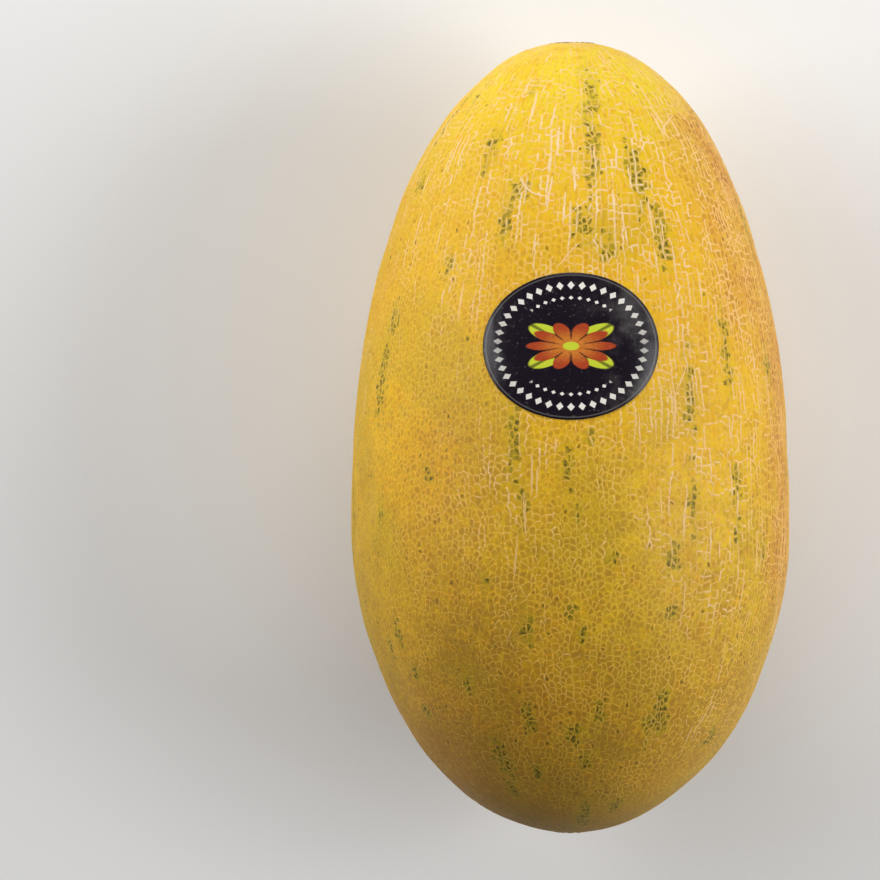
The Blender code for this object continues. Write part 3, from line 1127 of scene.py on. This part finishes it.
def build_long_strands(settings, material):
    """Ridges over the fine net: a rounded section that swells from nothing and shrinks back, along a path
    whose heading bends evenly. Most run along the melon, and the others slant across it."""
    draw = np.random.default_rng(LONG_STRAND_SEED)
    count, steps = LONG_STRANDS, LONG_STRAND_STEPS
    station = draw.uniform(*LONG_STRAND_STATIONS, count)
    turn = draw.uniform(-math.pi, math.pi, count)
    arc = arc_of(station)
    kept = draw.uniform(0, 1, count) < boldness(turn, arc) ** 1.5 * radius_of(arc) / BODY_RADIUS
    turn, arc = turn[kept], arc[kept]
    count = len(turn)
    near_stem = np.interp(station[kept], SLANTED_FROM, (0, 1))
    slanted = draw.uniform(0, 1, count) < SLANTED_SHARE * smoothstep(near_stem)
    slanting = draw.uniform(-SLANTED_HEADING, SLANTED_HEADING, count)
    heading = np.where(slanted, slanting, draw.normal(0, STRAIGHT_HEADING, count))
    bend = np.where(slanted, draw.normal(0, SLANTED_BEND, count), draw.normal(0, STRAIGHT_BEND, count))
    length = draw.uniform(*LONG_STRAND_LENGTHS, count) * np.where(slanted, SLANTED_LENGTH, 1.0)
    share = np.linspace(0, 1, steps)
    run = share * length[:, None]
    angle = heading[:, None] + bend[:, None] * (run - length[:, None] / 2)
    step = length[:, None] / (steps - 1)
    local = radius_of(arc)[:, None]
    path_turn = turn[:, None] + np.cumsum(np.sin(angle) * step, 1) / local
    path_arc = arc[:, None] + np.cumsum(np.cos(angle) * step, 1)
    pitch = draw.uniform(*WOBBLE_PITCHES, count)[:, None]
    wobble = LONG_STRAND_WOBBLE * np.sin(run * pitch + draw.uniform(0, 6, count)[:, None])
    path_turn = path_turn + wobble / local
    swell = np.sin(math.pi * share) ** 0.5
    uneven = 1 + 0.18 * np.sin(run * pitch * 0.7 + draw.uniform(0, 6, count)[:, None])
    slanted_width = draw.uniform(*SLANTED_HALF_WIDTHS, count)
    widest = np.where(slanted, slanted_width, draw.uniform(*LONG_STRAND_HALF_WIDTHS, count))
    half = widest[:, None] * swell * uneven
    high = settings.bold_height * draw.uniform(*LONG_STRAND_HEIGHTS, count)[:, None] * swell
    across = half[..., None] * np.array(PROFILE_SIDE)
    chart_turn = path_turn[..., None] + np.cos(angle)[..., None] * across / local[..., None]
    chart_arc = path_arc[..., None] - np.sin(angle)[..., None] * across
    under = label_distance(chart_turn, chart_arc) < LABEL_WIDE_EDGE
    lift = high[..., None] * np.array(PROFILE_LIFT) - STRAND_FOOT
    lift = np.where(under, lift * LABEL_PRESS, lift)
    spots = np.stack([chart_turn, chart_arc], -1).reshape(-1, 2)
    points = on_body(*spots.T, lift.ravel())
    size = steps * len(PROFILE_SIDE)
    one = grid_faces(steps, len(PROFILE_SIDE))
    faces = (np.arange(count)[:, None, None] * size + one).reshape(-1, 4)
    attributes = {
        "strength": np.repeat(0.50 + 0.50 * draw.uniform(0, 1, count), size),
        "crest": np.tile(PROFILE_LIFT, count * steps),
        "fleck": 0.4 * fleck_share(*spots.T),
        "blush": blush_share(*spots.T),
        "olive": olive_share(*spots.T),
        "cover": 0.60 + 0.40 * boldness(*spots.T),
    }
    piece = make_piece("net_long_strands", points, faces, spots, material, attributes)
    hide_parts("melon")


class CANTALOUPE_OT_scars(bpy.types.Operator):
    """Build the corky scars at both ends"""

    bl_idname = "cantaloupe.scars"
    bl_label = "End scars"

    def execute(self, context):
        material = scar_material(context.scene.cantaloupe_scars, context.scene.cantaloupe_skin)
        for scar in SCARS:
            piece = build_scar(*scar, material)
            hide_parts("melon")
        return {"FINISHED"}


def build_scar(name, radius, dish, plug, from_stem, material):
    """Rings about the tip, lifted by their distance from it: a low plug in the middle, a dish round it, a
    raised ragged rim, and the skin's level outside."""
    share = np.linspace(0, 1, SCAR_RINGS)[:, None] ** 0.8
    turn = np.linspace(-math.pi, math.pi, SCAR_TURNS, endpoint=False)[None, :]
    away = share * radius * SCAR_REACH
    spoke = np.stack([np.sin(turn), np.cos(turn)], -1) * away[..., None] * 40
    spoke = np.concatenate([spoke, np.zeros((*spoke.shape[:2], 1))], -1)
    ragged = ripple(spoke, 0.30, 41 + from_stem) * 0.10 + ripple(spoke, 0.10, 43) * 0.04
    inward = away / radius * (1 + 0.5 * ragged)
    rim = np.exp(-(((inward - 1.04) / 0.16) ** 2))
    inside = smoothstep((1.0 - inward) / 0.28)
    middle = smoothstep((0.42 - inward) / 0.22)
    cracks = ripple(np.stack([np.cos(turn * 9), np.sin(turn * 9), turn * 0], -1) + spoke * 0.2, 1.3, 44)
    lift = SCAR_RIM_HEIGHT * rim - dish * inside + plug * middle + SCAR_CRACK_DEPTH * cracks * inside
    lift = lift + SCAR_GRAIN_HEIGHT * ripple(spoke, 0.05, 45) * (inward < 1.2)
    lift = lift - SCAR_LIP_DROP * smoothstep((inward - 1.1) / 0.1)
    lift = lift - SCAR_EDGE_DROP * smoothstep((inward - 1.38) / 0.15)
    arc = away if from_stem else SKIN_LENGTH - away
    turn, arc = np.broadcast_arrays(turn, arc)
    points = on_body(turn, arc, lift)
    tip = points[0].mean(0)
    points = np.concatenate([[tip], points[1:].reshape(-1, 3)])
    depth = np.concatenate([[0.2], np.clip(inside - 0.8 * middle + 0.15 * cracks, 0, 1)[1:].ravel()])
    skin = np.concatenate([[0], smoothstep((inward - 1.08) / 0.20)[1:].ravel()])
    faces = grid_faces(SCAR_RINGS - 1, SCAR_TURNS, closed=True) + 1
    faces = np.concatenate([faces[:, [0, 1, 2]], faces[:, [0, 2, 3]]])
    ring = np.arange(SCAR_TURNS)
    cap = np.column_stack([0 * ring, 1 + ring, 1 + (ring + 1) % SCAR_TURNS])
    faces = np.concatenate([cap, faces])
    flat = np.stack([np.sin(turn) * away, np.cos(turn) * away], -1)[1:].reshape(-1, 2)
    chart = np.concatenate([[[0, 0]], flat])
    return make_piece(name, points, faces, chart, material, {"depth": depth, "skin": skin})


class CANTALOUPE_OT_label(bpy.types.Operator):
    """Build the printed oval label"""

    bl_idname = "cantaloupe.label"
    bl_label = "Label"

    def execute(self, context):
        settings = context.scene.cantaloupe_label
        piece = build_label(settings, label_material(settings))
        sheet = piece.modifiers.new("thickness", "SOLIDIFY")
        sheet.thickness = LABEL_SHEET
        sheet.offset = -1
        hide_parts("label")
        return {"FINISHED"}


def build_label(settings, material):
    """A square grid pressed into an oval and laid over the body, with a faint relief of what is under it."""
    share = np.linspace(-1, 1, LABEL_DIVISIONS)
    v, u = np.meshgrid(share, share, indexing="ij")
    across = u * np.sqrt(1 - v * v / 2) * LABEL_WIDTH / 2
    along = v * np.sqrt(1 - u * u / 2) * LABEL_LENGTH / 2
    arc = arc_of(LABEL_STATION + along)
    turn = across / radius_of(arc)
    place = axis_points(turn, arc)
    relief = LABEL_FINE_RELIEF * ripple(place * (1, 0.5, 1), 0.0035, 51)
    relief = relief + LABEL_BROAD_RELIEF * ripple(place, 0.015, 52)
    points = on_body(turn, arc, settings.lift + relief).reshape(-1, 3)
    faces = grid_faces(LABEL_DIVISIONS, LABEL_DIVISIONS)
    flat = np.column_stack([across.ravel(), along.ravel(), 0 * along.ravel()])
    chart = np.column_stack([across.ravel(), -along.ravel()])
    return make_piece("oval_label", points, faces, chart, material, {"print": flat})


def label_material(settings):
    """Glossy print on millimetre coordinates: a ring of lozenges near the rim, and a wide flower on four
    leaves between two short arcs of dots."""
    paint = Paint("glossy label", specular=0.30)
    flat = paint.attribute("print", "Vector")
    x, y, _ = paint.parts(paint.stretch(flat, (MILLIMETRES, MILLIMETRES, MILLIMETRES)))
    across, along = x / (LABEL_WIDTH / 2 * MILLIMETRES), y / (LABEL_LENGTH / 2 * MILLIMETRES)
    rho = (across * across + along * along) ** 0.5
    marks = rim_marks(rho, x.math("ARCTAN2", along, across))
    # Painted sheen: a faint cream haze, stronger towards the label's +X edge, where it mirrors the light
    painted_sheen = paint.noise(paint.place(), 70.0, 4.0, 0.6).step(0.42, 0.75) * across.step(-0.1, 0.75)
    wear = paint.noise(paint.place(), 900.0, 3.0)
    fx, fy = x / FLOWER_HALF_WIDTH, y / FLOWER_HALF_LENGTH
    out = (fx * fx + fy * fy) ** 0.5
    bearing = fx.math("ARCTAN2", fy, fx)
    slant = bearing.math("SINE", bearing * 2.0).absolute()
    leaf = (out / (0.20 + 1.06 * slant * slant)).step(1.04, 0.97)
    leaf_color = paint.mix(slant.step(0.993, 0.998) * 0.7, settings.leaf, settings.ground)
    petals = 0.60 + 0.40 * bearing.math("COSINE", bearing * PETAL_WAVES).absolute()
    vein = bearing.math("SINE", bearing * PETAL_WAVES).absolute().step(0.93, 0.99)
    barbs = paint.noise(paint.stretch(flat, (700.0, 2600.0, 1.0)), 1.0, 3.0)
    petal_color = paint.layer(
        settings.orange,
        (out.step(0.25, 0.85), settings.red),
        (barbs.step(0.45, 0.70) * 0.55, settings.rust),
        (vein * out.step(0.2, 0.4) * 0.75, settings.ground),
        (out.step(0.20, 0.16), settings.leaf),
    )
    color = paint.layer(
        settings.ground,
        (painted_sheen * 0.10, settings.cream),
        (marks, settings.cream),
        (leaf, leaf_color),
        ((out / petals).step(1.04, 0.97), petal_color),
        (wear.step(0.60, 0.78) * 0.08, settings.cream),
    )
    normal = paint.bump(wear, 0.05, 0.0002)
    return paint.finish(base_color=color, roughness=0.14 + 0.10 * wear, normal=normal)


def rim_marks(rho, angle):
    """Where the cream print is: lozenges in a ring, two arcs of dots within it, and a thin line round the
    rim. A row gives the beads to a full ring, its place, their half width and height, and the part of the
    ring they fill."""
    marks = (rho - 0.965).absolute().step(0.012, 0.004) * 0.10
    for beads, ring, wide, tall, first, last in (
        (42, 0.825, 1.15, 1.55, -1.0, 1.1),
        (42, 0.655, 0.75, 0.75, 0.72, 0.76),
    ):
        local = angle * (beads / math.tau)
        cell = local.math("FRACT", local) - 0.5
        sideways = cell.absolute() * (math.tau * MEAN_RIM * ring / beads) / wide
        outwards = (rho - ring).absolute() * MEAN_RIM / tall
        here = angle.math("SINE", angle).absolute().step(first, last)
        marks = (sideways + outwards).step(1.08, 0.92) * here + marks
    return marks.clamp()


class CANTALOUPE_OT_stage(bpy.types.Operator):
    """Set the floor, the soft light and the camera"""

    bl_idname = "cantaloupe.stage"
    bl_label = "Stage"

    def execute(self, context):
        settings = context.scene.cantaloupe_stage
        build_floor(settings)
        build_lights(context.scene, settings)
        build_camera(context.scene)
        context.scene.view_settings.view_transform = "Standard"
        return {"FINISHED"}


def build_floor(settings):
    """A wide flat square under the melon."""
    mesh = bpy.data.meshes.new("floor")
    corners = [(x * FLOOR_HALF_SIDE, y * FLOOR_HALF_SIDE, -FLOOR_GAP) for x, y in FLOOR_CORNERS]
    mesh.from_pydata(corners, [], [(0, 1, 2, 3)])
    mesh.materials.append(Paint("plain floor").finish(base_color=settings.floor, roughness=0.9))
    floor = bpy.data.objects.new("floor", mesh)
    bpy.context.scene.collection.objects.link(floor)


def add_light(name, place, target, size, power):
    light = bpy.data.lights.new(name, "AREA")
    light.shape = "DISK"
    light.size = size
    light.energy = power
    lamp = bpy.data.objects.new(name, light)
    lamp.location = place
    lamp.rotation_euler = (target - place).to_track_quat("-Z", "Y").to_euler()
    bpy.context.scene.collection.objects.link(lamp)


def build_lights(scene, settings):
    """Three broad lights low round the melon, so that its middle stays a little darker, and a small one for
    the label. A row gives the heading from the stem end towards +X, the angle from straight up, the distance
    and the size."""
    for name, heading, low, away, size, power in (
        ("stem_side", 0, 66, 1.3, 1.05, settings.top_power),
        ("right_side", 90, 60, 1.3, 1.05, settings.right_power),
        ("left_side", 294, 67, 1.3, 1.05, settings.left_power),
        ("glare", 86, 46, 1.2, 0.22, settings.glare_power),
    ):
        heading, low = math.radians(heading), math.radians(low)
        aside = math.sin(low) * Vector((math.sin(heading), math.cos(heading), 0))
        middle = Vector((0, 0, BODY_RADIUS))
        place = middle + away * (aside + Vector((0, 0, math.cos(low))))
        add_light(name, place, middle, size, power)
    world = bpy.data.worlds.new("even light")
    world.use_nodes = True
    background = world.node_tree.nodes["Background"]
    background.inputs["Color"].default_value = (*settings.air, 1.0)
    background.inputs["Strength"].default_value = settings.ambient
    scene.world = world


def build_camera(scene):
    """Looks down on the melon, square to its long axis, and is panned until the melon lies where it does in
    the photograph."""
    scale = CAMERA_DISTANCE * SENSOR / LENS / PHOTO_SIDE
    aside = (PHOTO_MELON_AXIS - PHOTO_SIDE / 2) * scale
    above = (PHOTO_SIDE / 2 - (PHOTO_MELON_TOP + PHOTO_MELON_BOTTOM) / 2) * scale
    pose = resting_pose()
    middle = pose @ Vector((0, (STEM_HALF - BLOSSOM_HALF) / 2, 0))
    up = pose.to_3x3() @ Vector((0, 1, 0))
    back = pose.to_3x3() @ Vector((0, 0, 1))
    data = bpy.data.cameras.new("camera")
    data.lens = LENS * MILLIMETRES
    data.sensor_width = SENSOR * MILLIMETRES
    camera = bpy.data.objects.new("camera", data)
    camera.location = middle + back * CAMERA_DISTANCE
    target = middle - Vector((aside, 0, 0)) - up * above
    depth = (target - camera.location).normalized()
    right = depth.cross(up).normalized()
    turned = Matrix((right, right.cross(depth), -depth)).transposed()
    camera.rotation_euler = turned.to_euler()
    scene.collection.objects.link(camera)
    scene.camera = camera


class CANTALOUPE_PT_panel(bpy.types.Panel):
    """Lists the pieces and their settings"""

    bl_label = "Cantaloupe"
    bl_idname = "CANTALOUPE_PT_panel"
    bl_space_type = "VIEW_3D"
    bl_region_type = "UI"
    bl_category = "Cantaloupe"

    def draw(self, context):
        for group, (_, operators) in SETTINGS.items():
            box = self.layout.box()
            settings = getattr(context.scene, group)
            for name in settings.__annotations__:
                box.prop(settings, name)
            for operator in operators:
                box.operator(operator)


# Settings, and the operators below them in the panel
SETTINGS = {
    "cantaloupe_skin": (SkinSettings, ("cantaloupe.skin",)),
    "cantaloupe_net": (NetSettings, ("cantaloupe.net", "cantaloupe.long_strands")),
    "cantaloupe_scars": (ScarSettings, ("cantaloupe.scars",)),
    "cantaloupe_label": (LabelSettings, ("cantaloupe.label",)),
    "cantaloupe_stage": (StageSettings, ("cantaloupe.stage",)),
}
CLASSES = (
    CANTALOUPE_OT_skin,
    CANTALOUPE_OT_net,
    CANTALOUPE_OT_long_strands,
    CANTALOUPE_OT_scars,
    CANTALOUPE_OT_label,
    CANTALOUPE_OT_stage,
    CANTALOUPE_PT_panel,
)


def register():
    for name, (group, _) in SETTINGS.items():
        bpy.utils.register_class(group)
        setattr(bpy.types.Scene, name, PointerProperty(type=group))
    for item in CLASSES:
        bpy.utils.register_class(item)


def unregister():
    for item in reversed(CLASSES):
        bpy.utils.unregister_class(item)
    for name, (group, _) in SETTINGS.items():
        delattr(bpy.types.Scene, name)
        bpy.utils.unregister_class(group)


def main():
    register()
    bpy.ops.cantaloupe.skin()
    bpy.ops.cantaloupe.net()
    bpy.ops.cantaloupe.long_strands()
    bpy.ops.cantaloupe.scars()
    bpy.ops.cantaloupe.label()
    bpy.ops.cantaloupe.stage()


if __name__ == "__main__":
    main()
